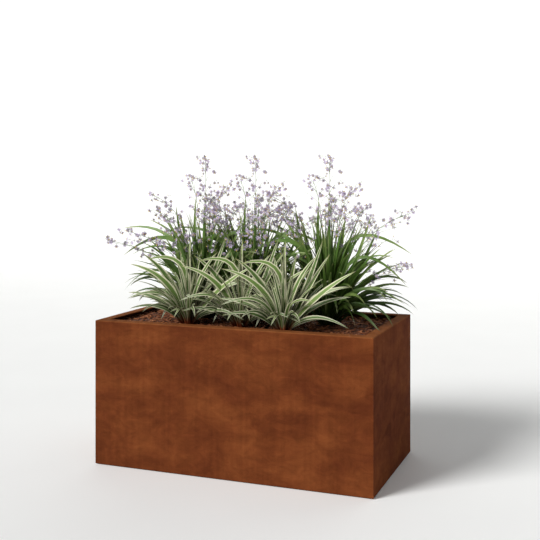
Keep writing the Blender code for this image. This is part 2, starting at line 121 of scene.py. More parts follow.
def start_material(name, **shader_values):
    """A new material, its node tree, its shader and its coordinates by name."""
    material = bpy.data.materials.new(name)
    material.use_nodes = True
    tree = material.node_tree
    shader = tree.nodes["Principled BSDF"]
    for socket, value in shader_values.items():
        shader.inputs[socket.replace("_", " ")].default_value = value
    return material, tree, shader, add_node(tree, "TexCoord").outputs


def shaded(tree, colour, pattern, greys):
    """A colour made darker and lighter by a pattern. The greys are a ramp over the pattern."""
    shade = add_node(tree, "ValToRGB", {"Fac": pattern}, ramp=greys)
    return add_node(tree, "Mix", {MIX_FACTOR: 1.0, MIX_A: colour, MIX_B: shade},
                    data_type="RGBA", blend_type="MULTIPLY")


def set_relief(tree, shader, pattern, strength, depth, invert=False):
    """Raises and lowers a surface by a pattern, up to depth metres."""
    bump = add_node(tree, "Bump", {"Height": pattern, "Strength": strength, "Distance": depth}, invert=invert)
    set_inputs(tree, shader, {"Normal": bump})


# ---- working with objects ------------------------------------------------------------------------
def deselect_all():
    if bpy.context.object and bpy.context.object.mode != "OBJECT":
        bpy.ops.object.mode_set(mode="OBJECT")
    bpy.ops.object.select_all(action="DESELECT")


def select_only(obj):
    deselect_all()
    obj.select_set(True)
    bpy.context.view_layer.objects.active = obj


def enter_edit(obj):
    select_only(obj)
    bpy.ops.object.mode_set(mode="EDIT")


def leave_edit():
    bpy.ops.object.mode_set(mode="OBJECT")


def pick(kind, test):
    """In edit mode, selects the verts, edges or faces for which test(element) is true."""
    modes = {"verts": "VERT", "edges": "EDGE", "faces": "FACE"}
    bpy.ops.mesh.select_mode(type=modes[kind])
    bpy.ops.mesh.select_all(action="DESELECT")
    edited = bmesh.from_edit_mesh(bpy.context.object.data)
    for element in getattr(edited, kind):
        if test(element):
            element.select_set(True)
    edited.select_flush_mode()
    bmesh.update_edit_mesh(bpy.context.object.data)


def apply_modifiers(obj):
    select_only(obj)
    for modifier in list(obj.modifiers):
        bpy.ops.object.modifier_apply(modifier=modifier.name)


def settle(obj, name):
    """Names a finished piece and puts its place into its mesh."""
    select_only(obj)
    bpy.ops.object.transform_apply(location=True, rotation=True, scale=True)
    obj.name = name
    obj.data.name = name
    return obj


def finish_nodes(names, material):
    """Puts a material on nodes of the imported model."""
    for name in names:
        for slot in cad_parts[name].material_slots:
            slot.material = material


def read_shape(obj):
    """What one modelled shape gives its copies; the shape itself is then removed."""
    mesh = obj.data
    shape = {
        "points": np.array([v.co for v in mesh.vertices]),
        "faces": [tuple(face.vertices) for face in mesh.polygons],
        "finish": [face.material_index for face in mesh.polygons],
        "uv": np.array([loop.uv for loop in mesh.uv_layers.active.data]),
        "materials": list(mesh.materials),
    }
    bpy.data.objects.remove(obj)
    return shape


def join_copies(name, shape, copies, tones):
    """One object of many copies of a shape: copies holds each one's points, tones its shade from 0 to 1."""
    step = len(shape["points"])
    faces = [tuple(corner + step * number for corner in face)
             for number in range(len(copies)) for face in shape["faces"]]
    mesh = bpy.data.meshes.new(name)
    mesh.from_pydata(np.concatenate(copies).tolist(), [], faces)
    for material in shape["materials"]:
        mesh.materials.append(material)
    mesh.polygons.foreach_set("material_index", shape["finish"] * len(copies))
    layer = mesh.uv_layers.new(name="UVMap")
    layer.data.foreach_set("uv", np.tile(shape["uv"], (len(copies), 1)).ravel())
    tone = mesh.attributes.new("tone", "FLOAT", "POINT")
    tone.data.foreach_set("value", np.repeat(tones, step))
    made = bpy.data.objects.new(name, mesh)
    bpy.context.scene.collection.objects.link(made)
    return made


def smooth(obj, angle=60):
    """Shades faces as one curved surface where they meet at less than this many degrees."""
    select_only(obj)
    bpy.ops.object.shade_smooth_by_angle(angle=math.radians(angle))


# ---- steel, plastic and the filling: materials ---------------------------------------------------
def weathering_steel(settings):
    """Weathering steel, rusted outdoors: a matt, cloudy brown oxide with fine grain, and a lighter brown at
    the rim that is partly wear and partly a painted highlight.
    """
    made, tree, shader, place = start_material("weathering_steel_rusted", Roughness=0.82, Metallic=0.0)
    shader.inputs["Specular IOR Level"].default_value = 0.03
    clouds_at = add_node(tree, "Mapping", {"Vector": place["Object"], "Scale": (1.0, 1.0, 1.7)})
    # broad clouds about 200 mm across, wider than they are tall
    clouds = add_node(tree, "TexNoise", {"Vector": clouds_at, "Scale": 5.0, "Detail": 5.0,
                                         "Roughness": 0.60, "Distortion": 0.5})
    cloud_colour = add_node(tree, "ValToRGB", {"Fac": clouds},
                            ramp=((0.34, settings.dark[:]), (0.50, settings.rust[:]),
                                  (0.68, settings.light[:])))
    # mottling about 50 mm across
    mottle = add_node(tree, "TexNoise", {"Vector": clouds_at, "Scale": 19.0, "Detail": 6.0,
                                         "Roughness": 0.65, "Distortion": 0.8})
    mottled = shaded(tree, cloud_colour, mottle, ((0.30, 0.80), (0.50, 1.0), (0.72, 1.22)))
    # rain streaks 8 mm wide
    streaks_at = add_node(tree, "Mapping", {"Vector": place["Object"], "Scale": (60.0, 60.0, 3.0)})
    streaks = add_node(tree, "TexNoise", {"Vector": streaks_at, "Scale": 1.0, "Detail": 3.0})
    streaked = shaded(tree, mottled, streaks, ((0.30, 0.90), (0.55, 1.0), (0.75, 1.08)))
    # oxide grain: about 1 mm on the real sheet, drawn 2.5 mm so that it shows
    grain = add_node(tree, "TexNoise", {"Vector": place["Object"], "Scale": 400.0, "Detail": 3.0,
                                        "Roughness": 0.7})
    grained = shaded(tree, streaked, grain, ((0.25, 0.84), (0.75, 1.16)))
    # the fold at the top is a lighter brown over its last few millimetres: partly wear, partly a painted
    # highlight where the rim's top catches the light
    height = add_node(tree, "SeparateXYZ", {"Vector": place["Object"]})
    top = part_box("front_panel")[1].z
    worn_edge_and_highlight = add_node(tree, "MapRange", {"Value": height.outputs["Z"], "From Min": top - 5 * MM,
                                       "From Max": top - 1 * MM, "To Max": 0.75})
    patchy = add_node(tree, "Math", {0: worn_edge_and_highlight, 1: mottle}, operation="MULTIPLY")
    colour = add_node(tree, "Mix", {MIX_FACTOR: patchy, MIX_A: grained, MIX_B: (*settings.worn_edge_and_highlight, 1.0)},
                      data_type="RGBA")
    rough = add_node(tree, "MapRange", {"Value": mottle, "To Min": 0.97, "To Max": 0.80})
    set_inputs(tree, shader, {"Base Color": colour, "Roughness": rough})
    relief = add_node(tree, "Math", {0: grain, 1: mottle}, operation="ADD")
    set_relief(tree, shader, relief, strength=0.35, depth=0.4 * MM)
    return made


def galvanised_steel():
    """Hot-dip galvanised sheet: grey zinc with spangle about 12 mm across, dulled by white rust."""
    made, tree, shader, place = start_material("galvanised_steel_hot_dip", Metallic=0.9, Roughness=0.45)
    spangle = add_node(tree, "TexVoronoi", {"Vector": place["Object"], "Scale": 85.0})
    shade = add_node(tree, "ValToRGB", {"Fac": spangle.outputs["Color"]},
                     ramp=((0.1, linear("8b9093")), (0.9, linear("b4b8ba"))))
    dulling = add_node(tree, "TexNoise", {"Vector": place["Object"], "Scale": 30.0, "Detail": 5.0})
    colour = add_node(tree, "Mix", {MIX_FACTOR: dulling, MIX_A: shade, MIX_B: (*linear("a3a7a6"), 1.0)},
                      data_type="RGBA")
    rough = add_node(tree, "MapRange", {"Value": spangle.outputs["Distance"], "To Min": 0.36, "To Max": 0.60})
    set_inputs(tree, shader, {"Base Color": colour, "Roughness": rough})
    return made


def stainless_steel():
    """Turned A2 stainless steel: bright, with the lathe's fine rings as roughness only."""
    made, tree, shader, place = start_material("stainless_steel_turned", Metallic=1.0, Roughness=0.28)
    rings = add_node(tree, "TexWave", {"Vector": place["Object"], "Scale": 400.0, "Distortion": 1.5},
                     bands_direction="Z")
    colour = add_node(tree, "ValToRGB", {"Fac": rings.outputs["Fac"]},
                      ramp=((0.0, linear("b9b8b5")), (1.0, linear("cbcac7"))))
    rough = add_node(tree, "MapRange", {"Value": rings.outputs["Fac"], "To Min": 0.22, "To Max": 0.36})
    set_inputs(tree, shader, {"Base Color": colour, "Roughness": rough})
    return made


def black_plastic(name, pebbles_per_metre):
    """Black polypropylene, moulded or rolled: near black with a fine pebbled surface."""
    made, tree, shader, place = start_material(name, Roughness=0.5, IOR=1.49)
    pebbles = add_node(tree, "TexNoise", {"Vector": place["Object"], "Scale": pebbles_per_metre,
                                          "Detail": 2.0})
    colour = add_node(tree, "ValToRGB", {"Fac": pebbles},
                      ramp=((0.3, linear("161617")), (0.7, linear("232324"))))
    set_inputs(tree, shader, {"Base Color": colour})
    set_relief(tree, shader, pebbles, strength=0.3, depth=0.1 * MM)
    return made


def grainy(name, grain_size, colours, depth):
    """Loose or felted stuff: cells of one real grain size in a few colours, with their relief."""
    made, tree, shader, place = start_material(name, Roughness=0.95)
    cells = add_node(tree, "TexVoronoi", {"Vector": place["Object"], "Scale": 1.0 / grain_size})
    steps = [(0.15 + 0.7 * number / (len(colours) - 1), linear(c)) for number, c in enumerate(colours)]
    shade = add_node(tree, "ValToRGB", {"Fac": cells.outputs["Color"]}, ramp=steps)
    damp = add_node(tree, "TexNoise", {"Vector": place["Object"], "Scale": 12.0, "Detail": 4.0})
    colour = shaded(tree, shade, damp, ((0.3, 0.7), (0.7, 1.1)))
    set_inputs(tree, shader, {"Base Color": colour})
    set_relief(tree, shader, cells.outputs["Distance"], strength=1.0, depth=depth, invert=True)
    return made


# ---- plants and bark: materials ------------------------------------------------------------------
def leaf_ends(tree, up, colour, settings, shares):
    """A leaf's colour, with the sheath's colour at its foot and the dry tip's at its top."""
    share = add_node(tree, "ValToRGB", {"Fac": up}, ramp=shares)
    end_colour = add_node(tree, "ValToRGB", {"Fac": up},
                          ramp=((0.25, settings.sheath[:]), (0.75, settings.tip[:])))
    return add_node(tree, "Mix", {MIX_FACTOR: share, MIX_A: colour, MIX_B: end_colour}, data_type="RGBA")


def painted_shade_near_bark(tree, place, colour, depth, darkest):
    """A leaf's colour with painted shade: darker within depth of the bark, down to a darkest share of it."""
    height = add_node(tree, "SeparateXYZ", {"Vector": place["Object"]})
    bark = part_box("bark_mulch")[1].z
    share = add_node(tree, "MapRange", {"Value": height.outputs["Z"], "From Min": bark,
                                        "From Max": bark + depth, "To Min": darkest, "To Max": 1.0})
    return add_node(tree, "Mix", {MIX_FACTOR: 1.0, MIX_A: colour, MIX_B: share},
                    data_type="RGBA", blend_type="MULTIPLY")


def green_leaf(settings):
    """Flax lily leaf: a satin mid-green blade with fine parallel veins, paler towards its tip."""
    made, tree, shader, place = start_material("leaf_green_satin", Roughness=0.48, IOR=1.42)
    # the shape's UV runs from 0 to 1 across the blade, and from 0 to 1 up it
    across = add_node(tree, "SeparateXYZ", {"Vector": place["UV"]})
    tone = add_node(tree, "Attribute", attribute_name="tone")
    # patches of light and shade along a blade
    patch = add_node(tree, "TexNoise", {"Vector": place["Object"], "Scale": 22.0, "Detail": 3.0})
    both = add_node(tree, "Math", {0: tone.outputs["Fac"], 1: patch}, operation="ADD")
    half = add_node(tree, "Math", {0: both, 1: 0.5}, operation="MULTIPLY")
    blade = add_node(tree, "ValToRGB", {"Fac": half},
                     ramp=((0.15, settings.shade[:]), (0.50, settings.blade[:]), (0.80, settings.light[:])))
    # a vein every 1 mm, on a blade about 16 mm wide
    veins_at = add_node(tree, "Mapping", {"Vector": place["UV"], "Scale": (16.0, 0.6, 1.0)})
    veins = add_node(tree, "TexNoise", {"Vector": veins_at, "Scale": 1.0, "Detail": 2.0})
    veined = shaded(tree, blade, veins, ((0.30, 0.82), (0.70, 1.18)))
    ended = leaf_ends(tree, across.outputs["Y"], veined, settings,
                      ((0.0, 1.0), (0.10, 0.0), (0.80, 0.0), (1.0, 0.55)))
    # painted shade: the leaves darker near the bark, where they shade one another
    colour = painted_shade_near_bark(tree, place, ended, depth=300 * MM, darkest=0.36)
    set_inputs(tree, shader, {"Base Color": colour})
    set_relief(tree, shader, veins, strength=0.4, depth=0.3 * MM)
    return made


def striped_leaf(settings):
    """Variegated flax lily leaf: green down the middle, cream margins and cream pinstripes."""
    made, tree, shader, place = start_material("leaf_striped_satin", Roughness=0.46, IOR=1.42)
    # the shape's UV runs from 0 to 1 across the blade, and from 0 to 1 up it
    across = add_node(tree, "SeparateXYZ", {"Vector": place["UV"]})
    tone = add_node(tree, "Attribute", attribute_name="tone")
    # how far from the midrib, 0 to 1, with a margin that wanders a little
    off_middle = add_node(tree, "Math", {0: across.outputs["X"], 1: 0.5}, operation="SUBTRACT")
    outward = add_node(tree, "Math", {0: off_middle}, operation="ABSOLUTE")
    stripes_at = add_node(tree, "Mapping", {"Vector": place["UV"], "Scale": (9.0, 0.8, 1.0)})
    shifted = add_node(tree, "CombineXYZ", {"X": tone.outputs["Fac"], "Y": tone.outputs["Fac"]})
    # each leaf has stripes of its own
    far_off = add_node(tree, "VectorMath", {0: shifted, "Scale": 40.0}, operation="SCALE")
    own_stripes = add_node(tree, "VectorMath", {0: stripes_at, 1: far_off}, operation="ADD")
    stripes = add_node(tree, "TexNoise", {"Vector": own_stripes, "Scale": 1.0, "Detail": 3.0,
                                          "Roughness": 0.6})
    wander = add_node(tree, "Math", {0: stripes, 1: 0.22}, operation="MULTIPLY")
    edge = add_node(tree, "Math", {0: outward, 1: wander}, operation="ADD")
    margin = add_node(tree, "ValToRGB", {"Fac": edge}, ramp=((0.37, 0.0), (0.41, 1.0)))
    pinstripe = add_node(tree, "ValToRGB", {"Fac": stripes}, ramp=((0.60, 0.0), (0.66, 0.70)))
    pale = add_node(tree, "Math", {0: margin, 1: pinstripe}, operation="MAXIMUM")
    green = add_node(tree, "ValToRGB", {"Fac": tone.outputs["Fac"]},
                     ramp=((0.0, settings.shade[:]), (0.6, settings.blade[:]), (1.0, settings.light[:])))
    striped = add_node(tree, "Mix", {MIX_FACTOR: pale, MIX_A: green, MIX_B: (*settings.cream, 1.0)},
                       data_type="RGBA")
    ended = leaf_ends(tree, across.outputs["Y"], striped, settings,
                      ((0.07, 1.0), (0.20, 0.0), (0.92, 0.0), (1.0, 0.6)))
    # painted shade: the leaves darker near the bark, where they shade one another
    colour = painted_shade_near_bark(tree, place, ended, depth=150 * MM, darkest=0.45)
    set_inputs(tree, shader, {"Base Color": colour})
    set_relief(tree, shader, stripes, strength=0.35, depth=0.3 * MM)
    return made


def plant_part(name, low_colour, high_colour, roughness, spot_size):
    """A thin living part, such as a petal or stalk: two colours in soft spots of one size."""
    made, tree, shader, place = start_material(name, Roughness=roughness, IOR=1.42)
    spots = add_node(tree, "TexNoise", {"Vector": place["Object"], "Scale": 1.0 / spot_size, "Detail": 2.0})
    colour = add_node(tree, "ValToRGB", {"Fac": spots}, ramp=((0.35, low_colour[:]), (0.65, high_colour[:])))
    set_inputs(tree, shader, {"Base Color": colour})
    return made


def bark_chip(settings):
    """Shredded pine bark: reddish-brown slivers with dark fibres along them."""
    made, tree, shader, place = start_material("pine_bark_shredded", Roughness=0.92)
    tone = add_node(tree, "Attribute", attribute_name="tone")
    base = add_node(tree, "ValToRGB", {"Fac": tone.outputs["Fac"]},
                    ramp=((0.0, settings.dark[:]), (0.55, settings.bark[:]), (1.0, settings.light[:])))
    fibres_at = add_node(tree, "Mapping", {"Vector": place["UV"], "Scale": (1.5, 12.0, 1.0)})
    shifted = add_node(tree, "VectorMath", {0: fibres_at, 1: tone.outputs["Vector"]}, operation="ADD")
    fibres = add_node(tree, "TexNoise", {"Vector": shifted, "Scale": 1.0, "Detail": 4.0})
    colour = shaded(tree, base, fibres, ((0.30, 0.60), (0.60, 1.15)))
    set_inputs(tree, shader, {"Base Color": colour})
    set_relief(tree, shader, fibres, strength=0.7, depth=0.6 * MM)
    return made


# ---- bark ----------------------------------------------------------------------------------------
SLIVER_KINDS = 3


def model_bark_bed():
    """A closed slab in the place of the bark layer, its top gently heaped."""
    low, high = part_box("bark_mulch")
    clear = 1 * MM
    heap = 9 * MM
    size = high - low - Vector((clear, clear, heap))
    deselect_all()
    bpy.ops.mesh.primitive_cube_add(size=1.0, location=(0, 0, low.z + size.z / 2), scale=size)
    bed = settle(bpy.context.object, "bark_bed")
    enter_edit(bed)
    pick("faces", lambda face: face.normal.z > 0.9)
    bpy.ops.mesh.subdivide(number_cuts=70)
    pick("verts", lambda vert: vert.co.z > low.z + size.z - MM and abs(vert.co.x) < size.x / 2 - MM
         and abs(vert.co.y) < size.y / 2 - MM)
    leave_edit()
    heaped = bed.vertex_groups.new(name="heaped")
    heaped.add([vert.index for vert in bed.data.vertices if vert.select], 1.0, "REPLACE")
    lumps = bpy.data.textures.new("bark_lumps", "CLOUDS")
    lumps.noise_scale = 45 * MM
    lumps.noise_depth = 3
    heaping = bed.modifiers.new("heaping", "DISPLACE")
    heaping.texture = lumps
    heaping.vertex_group = "heaped"
    heaping.direction = "Z"
    heaping.texture_coords = "LOCAL"
    heaping.mid_level = 0.25
    heaping.strength = heap * 1.6
    apply_modifiers(bed)
    smooth(bed, 40)
    return bed


def model_bark_sliver(seed, material):
    """One sliver, 1 long, 1 wide and 1 thick about its middle: a split block with ragged, thinned ends."""
    deselect_all()
    bpy.ops.mesh.primitive_cube_add(size=1.0)
    sliver = bpy.context.object
    enter_edit(sliver)
    pick("edges", lambda edge: abs(edge.verts[0].co.x - edge.verts[1].co.x) > 0.5)
    bpy.ops.mesh.subdivide(number_cuts=2)
    for end in (-1, 1):
        pick("verts", lambda vert: vert.co.x * end > 0.4)
        bpy.ops.transform.resize(value=(1.0, 0.55, 0.5))
    bpy.ops.mesh.select_all(action="SELECT")
    bpy.ops.transform.vertex_random(offset=0.16, seed=seed)
    bpy.ops.mesh.normals_make_consistent(inside=False)
    leave_edit()
    layer = sliver.data.uv_layers.active.data
    for loop in sliver.data.loops:
        point = sliver.data.vertices[loop.vertex_index].co
        layer[loop.index].uv = (point.x + 0.5, point.y + point.z + 1.0)
    sliver.data.materials.append(material)
    return read_shape(sliver)


def scatter_slivers(settings, material):
    """Slivers lie flat-ish all over the bed, each at a random depth near its top."""
    chance = random.Random(11)
    low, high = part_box("bark_mulch")
    made = []
    for kind in range(SLIVER_KINDS):
        shape = model_bark_sliver(kind + 1, material)
        copies, tones = [], []
        for _ in range(settings.slivers // SLIVER_KINDS):
            length = chance.uniform(8, 28) * MM
            size = (length, chance.uniform(3, 8) * MM, chance.uniform(1.2, 3.0) * MM)
            lean = Euler((chance.gauss(0, 0.22), chance.gauss(0, 0.16), chance.uniform(0, math.tau)))
            inside = length / 2 + 1.5 * MM
            place = (chance.uniform(low.x + inside, high.x - inside),
                     chance.uniform(low.y + inside, high.y - inside),
                     high.z - chance.uniform(1.0, 7.5) * MM)
            turned = shape["points"] * size @ np.array(lean.to_matrix()).T
            copies.append(turned + place)
            tones.append(chance.random())
        made.append(join_copies("bark_slivers_" + "abc"[kind], shape, copies, tones))
    return made


# ---- leaves, stems and flowers -------------------------------------------------------------------
LEAF_RINGS = 14
STEM_RINGS = 12
FINE_STEPS = 80   # along a curve whose length is measured

# a strap leaf: shares of its length, of its greatest half-width, and of the half-width at one place
WIDEST_AT = 0.5
FOOT_WIDTH = 0.36
FOOT_FOLD = 0.75
TIP_FOLD = 0.20


def model_strap_leaf(material):
    """A leaf 1 long up Z and 1 from midrib to margin: folded and clasping below, flatter, pointed above."""
    deselect_all()
    bpy.ops.mesh.primitive_cylinder_add(vertices=4, radius=1.0, depth=1.0, location=(0, 0, 0.5))
    leaf = settle(bpy.context.object, "strap_leaf")
    enter_edit(leaf)
    pick("edges", lambda edge: abs(edge.verts[0].co.z - edge.verts[1].co.z) > 0.5)
    bpy.ops.mesh.subdivide(number_cuts=LEAF_RINGS - 1)
    for ring in range(LEAF_RINGS + 1):
        up = ring / LEAF_RINGS
        below = min(1.0, up / WIDEST_AT)
        above = max(0.0, up - WIDEST_AT) / (1.0 - WIDEST_AT)
        width = FOOT_WIDTH + (1.0 - FOOT_WIDTH) * math.sin(math.pi / 2 * below)
        width *= (1.0 - above) ** 0.7
        fold = width * (FOOT_FOLD + (TIP_FOLD - FOOT_FOLD) * below)
        pick("verts", lambda vert: abs(vert.co.z - up) < 0.01)
        if ring == LEAF_RINGS:
            bpy.ops.mesh.merge(type="CENTER")
            continue
        bpy.ops.transform.resize(value=(width, 0.05, 1.0))
        pick("verts", lambda vert: abs(vert.co.z - up) < 0.01 and abs(vert.co.x) > 0.01)
        bpy.ops.transform.translate(value=(0, fold, 0))
    leave_edit()
    layer = leaf.data.uv_layers.active.data
    for loop in leaf.data.loops:
        point = leaf.data.vertices[loop.vertex_index].co
        side = 0.0 if abs(point.x) < 1e-4 else math.copysign(0.5, point.x)
        layer[loop.index].uv = (0.5 + side, point.z)
    leaf.data.materials.append(material)
    return read_shape(leaf)


def model_stem(material):
    """A round stalk 1 long up Z, 1 in radius at its foot and thinner at its top."""
    deselect_all()
    bpy.ops.mesh.primitive_cylinder_add(vertices=5, radius=1.0, depth=1.0, location=(0, 0, 0.5))
    stem = settle(bpy.context.object, "stem")
    enter_edit(stem)
    pick("edges", lambda edge: abs(edge.verts[0].co.z - edge.verts[1].co.z) > 0.5)
    bpy.ops.mesh.subdivide(number_cuts=STEM_RINGS - 1)
    for ring in range(1, STEM_RINGS + 1):
        up = ring / STEM_RINGS
        thin = 1.0 - 0.55 * up
        pick("verts", lambda vert: abs(vert.co.z - up) < 0.01)
        bpy.ops.transform.resize(value=(thin, thin, 1.0))
    leave_edit()
    stem.data.materials.append(material)
    return read_shape(stem)


def model_flower(petals, anthers, green):
    """An open flower 1 across on a stalk from the origin up Z: six petals bent back round a yellow column."""
    deselect_all()
    bpy.ops.mesh.primitive_cone_add(vertices=4, radius1=1.0, depth=1.0)
    petal = bpy.context.object
    enter_edit(petal)
    bpy.ops.mesh.select_all(action="SELECT")
    # a thin diamond, moved out from the middle, bent back 12 degrees and repeated six times round
    bpy.ops.transform.resize(value=(0.30, 0.14, 0.05))
    bpy.ops.transform.translate(value=(0.28, 0.0, 0.0))
    bpy.ops.transform.rotate(value=math.radians(-12), orient_axis="Y", center_override=(0, 0, 0))
    bpy.ops.transform.translate(value=(0.02, 0.0, 0.90))
    bpy.ops.mesh.spin(steps=5, dupli=True, angle=math.radians(300), center=(0, 0, 0), axis=(0, 0, 1))
    leave_edit()
    deselect_all()
    bpy.ops.mesh.primitive_cone_add(vertices=5, radius1=0.11, radius2=0.07, depth=0.28, location=(0, 0, 1.05))
    column = bpy.context.object
    deselect_all()
    bpy.ops.mesh.primitive_cone_add(vertices=3, radius1=0.03, radius2=0.05, depth=0.90, location=(0, 0, 0.45))
    stalk = bpy.context.object
    deselect_all()
    for part, material in ((petal, petals), (column, anthers), (stalk, green)):
        part.data.materials.append(material)
        part.select_set(True)
    bpy.context.view_layer.objects.active = petal
    bpy.ops.object.join()
    return read_shape(settle(petal, "flower"))


def arch(start, over, tip, rings):
    """Points on the smooth curve that leaves start towards over and ends at tip."""
    start, over, tip = (np.array(p, float) for p in (start, over, tip))
    t = np.linspace(0.0, 1.0, rings + 1)[:, None]
    return (1 - t) ** 2 * start + 2 * t * (1 - t) * over + t * t * tip


def through(start, middle, tip):
    """Evenly spaced points on the smooth curve from start through middle to tip."""
    start, middle, tip = (np.array(p, float) for p in (start, middle, tip))
    near, far = np.linalg.norm(middle - start), np.linalg.norm(tip - middle)
    t = near / (near + far)
    over = (middle - (1 - t) ** 2 * start - t * t * tip) / (2 * t * (1 - t))
    fine = arch(start, over, tip, FINE_STEPS)
    gone = np.concatenate(([0.0], np.cumsum(np.linalg.norm(np.diff(fine, axis=0), axis=1))))
    steps = np.linspace(0.0, gone[-1], LEAF_RINGS + 1)
    return np.stack([np.interp(steps, gone, fine[:, axis]) for axis in range(3)], axis=1)


def along(shape, path, width, twist_from=0.0, twist_to=0.0):
    """A shape's points bent along a path, with its Z from 0 to 1 spread over the path's length."""
    rings = len(path) - 1
    ring_of = np.rint(shape["points"][:, 2] * rings).astype(int)
    ahead = np.gradient(path, axis=0)
    ahead /= np.linalg.norm(ahead, axis=1)[:, None]
    heading = path[-1] - path[0]
    level = np.array((-heading[1], heading[0], 0.0))
    if np.linalg.norm(level) < 1e-6:
        level = np.array((0.0, 1.0, 0.0))
    level /= np.linalg.norm(level)
    side = level - ahead * (ahead @ level)[:, None]
    side /= np.linalg.norm(side, axis=1)[:, None]
    above = np.cross(ahead, side)
    twist = np.linspace(twist_from, twist_to, rings + 1)[:, None]
    side, above = side * np.cos(twist) + above * np.sin(twist), above * np.cos(twist) - side * np.sin(twist)
    x, y = shape["points"][:, 0:1] * width, shape["points"][:, 1:2] * width
    return path[ring_of] + x * side[ring_of] + y * above[ring_of]


def over_rim(path):
    """Lifts a leaf's path smoothly clear of the bark, and outside that, of the height of the box's rim."""
    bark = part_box("bark_mulch")[1]
    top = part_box("front_panel")[1].z
    half_x, half_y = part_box("right_end_panel")[1].x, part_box("back_panel")[1].y
    rim, softness = 45 * MM, 14 * MM
    lifted = path.copy()
    for ring, point in enumerate(lifted):
        over_bark = abs(point[0]) < half_x - rim and abs(point[1]) < half_y - rim
        spare = point[2] - (bark.z if over_bark else top)
        lift = (math.hypot(spare, softness) - spare) / 2
        point[2] += lift * min(1.0, ring / 4)
    return lifted


def within(path, front):
    """Draws a whole path in towards its foot where it would leave the room that the planting has."""
    kept = path.copy()
    for axis, low, high in ((0, cad_box[0].x, cad_box[1].x), (1, front, cad_box[1].y)):
        foot = path[0, axis]
        for limit, end in ((low, path[:, axis].min()), (high, path[:, axis].max())):
            if abs(end - foot) > abs(limit - foot) and (end - foot) * (limit - foot) > 0:
                kept[:, axis] = foot + (kept[:, axis] - foot) * (limit - foot) / (end - foot)
    return kept


def roots_of(node):
    """The middle of a plant's root ball on plan, its radius, and its lowest point."""
    points = np.array([v.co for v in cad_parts[node].data.vertices])
    foot = points[points[:, 2] < points[:, 2].min() + MM]
    middle = (foot.min(axis=0) + foot.max(axis=0)) / 2
    return middle[:2], (foot.max(axis=0) - foot.min(axis=0))[0] / 2, middle[2]


def root_ball(name, node, material):
    """A pot-shaped ball of earth and roots under a plant, up to just under the bark."""
    (x, y), radius, low = roots_of(node)
    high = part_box("bark_mulch")[0].z - 2 * MM
    deselect_all()
    bpy.ops.mesh.primitive_cylinder_add(vertices=40, radius=radius - MM, depth=high - low,
                                        location=(x, y, (low + high) / 2))
    ball = settle(bpy.context.object, name)
    enter_edit(ball)
    pick("edges", lambda edge: abs(edge.verts[0].co.z - edge.verts[1].co.z) > 10 * MM)
    bpy.ops.mesh.subdivide(number_cuts=14)
    for level, share in ((low, 0.80), (high, 0.90)):
        pick("verts", lambda vert: abs(vert.co.z - level) < MM)
        bpy.ops.transform.resize(value=(share, share, 1.0))
    bpy.ops.mesh.select_all(action="SELECT")
    bpy.ops.transform.vertex_random(offset=0.8 * MM, seed=4)
    leave_edit()
    ball.data.materials.append(material)
    smooth(ball, 50)
    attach(ball, "root")
    return ball


# ---- settings that a user would change -----------------------------------------------------------
def colour_property(name, description, hex_colour):
    return FloatVectorProperty(name=name, description=description, default=linear(hex_colour), size=3,
                               min=0.0, max=1.0, subtype="COLOR")


class SteelSettings(bpy.types.PropertyGroup):
    rust: colour_property("Rust", "Main brown of the oxide", "67351b")
    dark: colour_property("Dark rust", "Brown of the dark clouds", "5a2c17")
    light: colour_property("Light rust", "Brown of the light clouds", "764021")
    # the rim's lighter brown: partly wear, partly a painted highlight on the top of the rim
    worn_edge_and_highlight: colour_property("Worn edge", "Brown of the folds at the rim", "9a6238")


class GreenSettings(bpy.types.PropertyGroup):
    leaves: IntProperty(name="Leaves", description="Leaves on each plant", default=190, min=10, max=300)
    width: FloatProperty(name="Leaf width", description="Widest part of a middling leaf", default=0.0165,
                         min=0.004, max=0.04, unit="LENGTH", subtype="DISTANCE")
    shade: colour_property("Deep green", "Inner and older leaves", "33471a")
    blade: colour_property("Green", "Main green of the leaves", "587a2f")
    light: colour_property("Light green", "Young leaves", "8ca356")
    sheath: colour_property("Sheath", "Foot of each leaf", "5b4a2c")
    tip: colour_property("Tip", "Dry tips", "b3b07a")
    petal: colour_property("Petal", "Lilac of the petals", "b49fc4")
    petal_light: colour_property("Pale petal", "Palest lilac of the petals", "e0d4ea")
    stalk: colour_property("Stalk", "Flower stalks", "7d8a52")


class StripedSettings(bpy.types.PropertyGroup):
    leaves: IntProperty(name="Leaves", description="Leaves on each plant", default=84, min=10, max=300)
    width: FloatProperty(name="Leaf width", description="Widest part of a middling leaf", default=0.024,
                         min=0.004, max=0.05, unit="LENGTH", subtype="DISTANCE")
    shade: colour_property("Deep green", "Older leaves", "3f5726")
    blade: colour_property("Green", "Main green between the stripes", "587534")
    light: colour_property("Light green", "Young leaves", "7c954a")
    cream: colour_property("Cream", "Margins and pinstripes", "d3d1ae")
    sheath: colour_property("Sheath", "Foot of each leaf", "b4582f")
    tip: colour_property("Tip", "Dry tips", "c9b48c")


class BarkSettings(bpy.types.PropertyGroup):
    slivers: IntProperty(name="Slivers", description="Pieces of bark on the bed", default=4200,
                         min=100, max=9000)
    bark: colour_property("Bark", "Main brown", "92522f")
    dark: colour_property("Dark bark", "Damp pieces", "5e341d")
    light: colour_property("Light bark", "Fresh pieces", "b87648")


class StageSettings(bpy.types.PropertyGroup):
    key_strength: FloatProperty(name="Key light", description="Strength of the key light", default=3.2,
                                min=0.0, max=20.0)
    sky_strength: FloatProperty(name="Fill", description="Strength of the light from all round", default=0.26,
                                min=0.0, max=5.0)
    floor: colour_property("Floor", "Painted studio floor", "f8f8f6")


